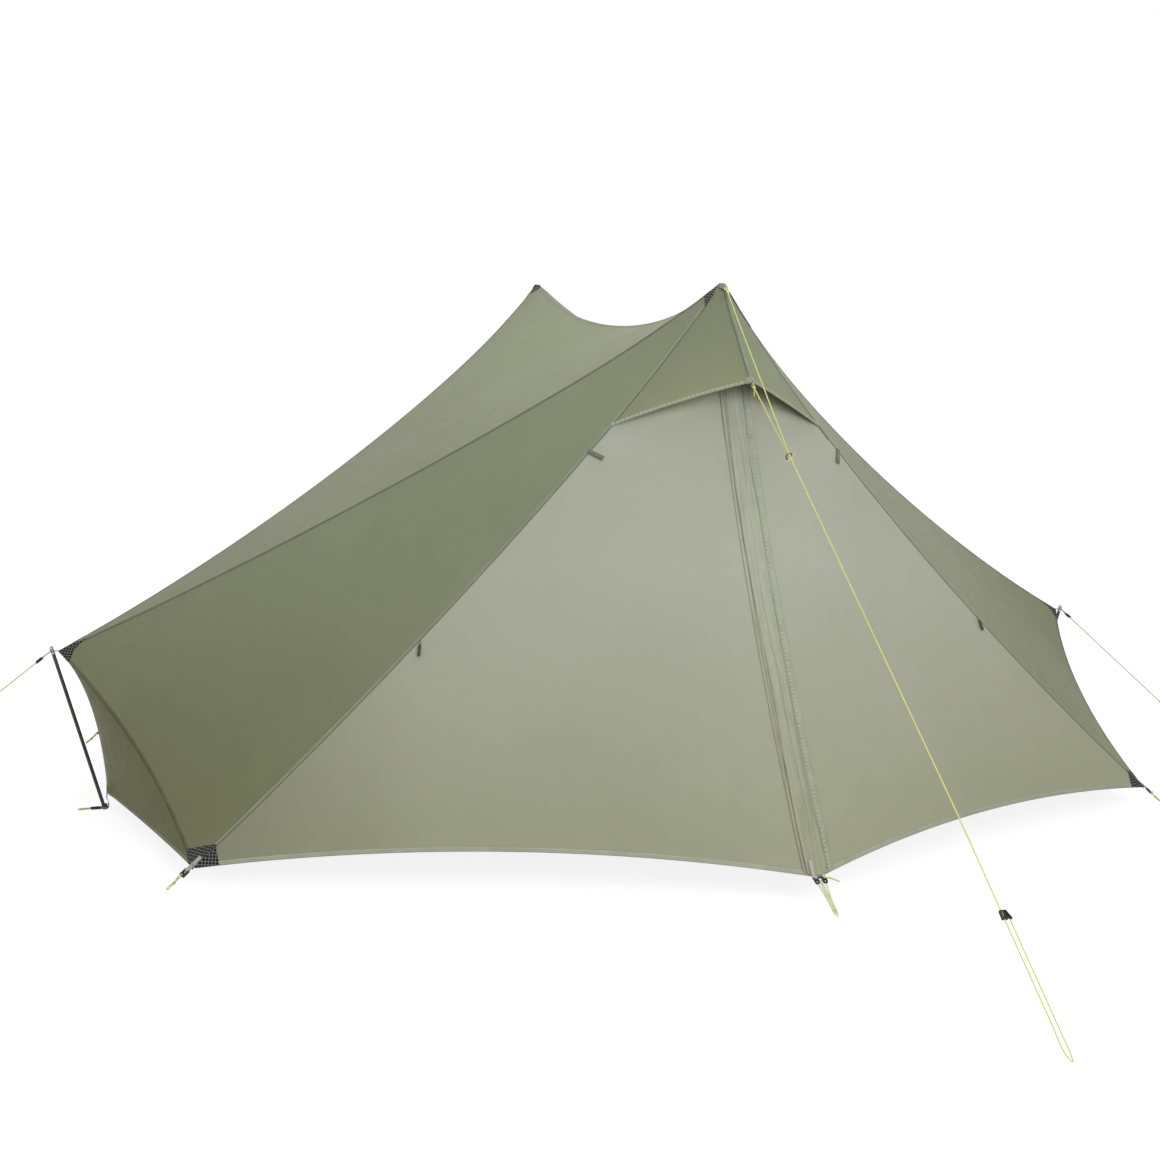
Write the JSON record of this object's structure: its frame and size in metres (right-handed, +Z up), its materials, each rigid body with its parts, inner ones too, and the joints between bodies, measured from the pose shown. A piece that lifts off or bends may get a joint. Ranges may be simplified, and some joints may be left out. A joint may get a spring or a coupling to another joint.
{
  "type": "trekking pole tent",
  "caption": "Pitched ultralight double wall tent on two trekking poles, with visors over split zip doors, short end struts, guy lines and a mesh inner with a tray floor.",
  "frame": {"origin": "on the ground, under the middle of the pitched tent, half way between the two poles", "axes": "+Z up, +X along the sleeping length towards the tent's right end as seen from the front door, +Y from the front door to the back door"},
  "size_m": [3.1866, 3.8224, 1.2014],
  "materials": {
    "fly_fabric": "matt coated ripstop, olive green",
    "door_fabric": "thin see-through coated ripstop, pale green",
    "seam_fabric": "sewn double layer, green",
    "patch_ripstop": "heavier black ripstop with a pale grid",
    "webbing": "flat woven tape, light grey",
    "cord": "braided cord, yellow green",
    "black_plastic": "moulded, fine texture",
    "carbon_tube": "satin carbon tube",
    "pole_aluminium": "satin anodised",
    "grip_foam": "matt foam",
    "inner_mesh": "fine insect netting, dark grey",
    "floor_fabric": "coated floor cloth, grey"
  },
  "bodies": {
    "tent": {"left_roof_panel": "fly_fabric", "left_end_panel": "fly_fabric", "left_tip_patch": "patch_ripstop", "left_strut": "carbon_tube", "left_foot_strap": "webbing", "left_end_line_lock": "webbing", "left_end_guy": "cord", "right_roof_panel": "fly_fabric", "right_end_panel": "fly_fabric", "right_tip_patch": "patch_ripstop", "right_strut": "carbon_tube", "right_foot_strap": "webbing", "right_end_line_lock": "webbing", "right_end_guy": "cord", "front_visor": "fly_fabric", "front_door_head": "door_fabric", "front_peak_patch": "patch_ripstop", "front_guy_line": "cord", "front_visor_cord": "cord", "front_door_hooks": "black_plastic", "front_door_cord": "cord", "front_pole_grip": "grip_foam", "front_pole_upper_shaft": "pole_aluminium", "front_left_side_panel": "fly_fabric", "front_left_corner_tie_out": "patch_ripstop", "front_left_corner_cord": "cord", "front_right_side_panel": "fly_fabric", "front_right_corner_tie_out": "patch_ripstop", "front_right_corner_cord": "cord", "back_visor": "fly_fabric", "back_door_head": "door_fabric", "back_peak_patch": "patch_ripstop", "back_guy_line": "cord", "back_visor_cord": "cord", "back_door_hooks": "black_plastic", "back_door_cord": "cord", "back_pole_grip": "grip_foam", "back_pole_upper_shaft": "pole_aluminium", "back_left_side_panel": "fly_fabric", "back_left_corner_tie_out": "patch_ripstop", "back_left_corner_cord": "cord", "back_right_side_panel": "fly_fabric", "back_right_corner_tie_out": "patch_ripstop", "back_right_corner_cord": "cord", "inner_floor": "floor_fabric", "inner_mesh": "inner_mesh"},
    "front_left_door": {"front_left_door_leaf": "door_fabric", "front_storm_flap": "seam_fabric"},
    "front_right_door": {"front_right_door_leaf": "door_fabric"},
    "front_slider": {"front_zip_slider": "black_plastic"},
    "front_lower_shaft": {"front_pole_lower_shaft": "pole_aluminium"},
    "front_clamp_lever": {"front_pole_clamp_lever": "black_plastic"},
    "front_tensioner": {"front_guy_tensioner": "black_plastic"},
    "back_left_door": {"back_left_door_leaf": "door_fabric", "back_storm_flap": "seam_fabric"},
    "back_right_door": {"back_right_door_leaf": "door_fabric"},
    "back_slider": {"back_zip_slider": "black_plastic"},
    "back_lower_shaft": {"back_pole_lower_shaft": "pole_aluminium"},
    "back_clamp_lever": {"back_pole_clamp_lever": "black_plastic"},
    "back_tensioner": {"back_guy_tensioner": "black_plastic"}
  },
  "joints": [
    {"name": "front_left_door_swing", "type": "hinge", "parent": "tent", "child": "front_left_door", "pos_m": [-0.70379, -0.606, 0.45745], "axis": [-0.719, -0.0567, -0.6927], "range_deg": [0, 110]},
    {"name": "front_right_door_swing", "type": "hinge", "parent": "tent", "child": "front_right_door", "pos_m": [0.70379, -0.606, 0.45745], "axis": [-0.719, 0.0567, 0.6927], "range_deg": [0, 110]},
    {"name": "front_zip_travel", "type": "slide", "parent": "front_left_door", "child": "front_slider", "axis": [0.0062, -0.3827, -0.9239], "range_m": [0, 0.249]},
    {"name": "front_pole_length", "type": "slide", "parent": "tent", "child": "front_lower_shaft", "axis": [0, 0, 1], "range_m": [0, 0.3]},
    {"name": "front_clamp_swing", "type": "hinge", "parent": "tent", "child": "front_clamp_lever", "pos_m": [0.00765, -0.55661, 0.621], "axis": [0, 0, 1], "range_deg": [0, 110]},
    {"name": "front_guy_tension", "type": "slide", "parent": "tent", "child": "front_tensioner", "axis": [0, 0.7466, 0.6653], "range_m": [0, 0.15]},
    {"name": "back_left_door_swing", "type": "hinge", "parent": "tent", "child": "back_left_door", "pos_m": [-0.70379, 0.606, 0.45745], "axis": [0.719, -0.0567, 0.6927], "range_deg": [0, 110]},
    {"name": "back_right_door_swing", "type": "hinge", "parent": "tent", "child": "back_right_door", "pos_m": [0.70379, 0.606, 0.45745], "axis": [0.719, 0.0567, -0.6927], "range_deg": [0, 110]},
    {"name": "back_zip_travel", "type": "slide", "parent": "back_left_door", "child": "back_slider", "axis": [0.0062, 0.3827, -0.9239], "range_m": [0, 0.249]},
    {"name": "back_pole_length", "type": "slide", "parent": "tent", "child": "back_lower_shaft", "axis": [0, 0, 1], "range_m": [0, 0.3]},
    {"name": "back_clamp_swing", "type": "hinge", "parent": "tent", "child": "back_clamp_lever", "pos_m": [0.00765, 0.55661, 0.621], "axis": [0, 0, -1], "range_deg": [0, 110]},
    {"name": "back_guy_tension", "type": "slide", "parent": "tent", "child": "back_tensioner", "axis": [0, -0.7466, 0.6653], "range_m": [0, 0.15]}
  ]
}
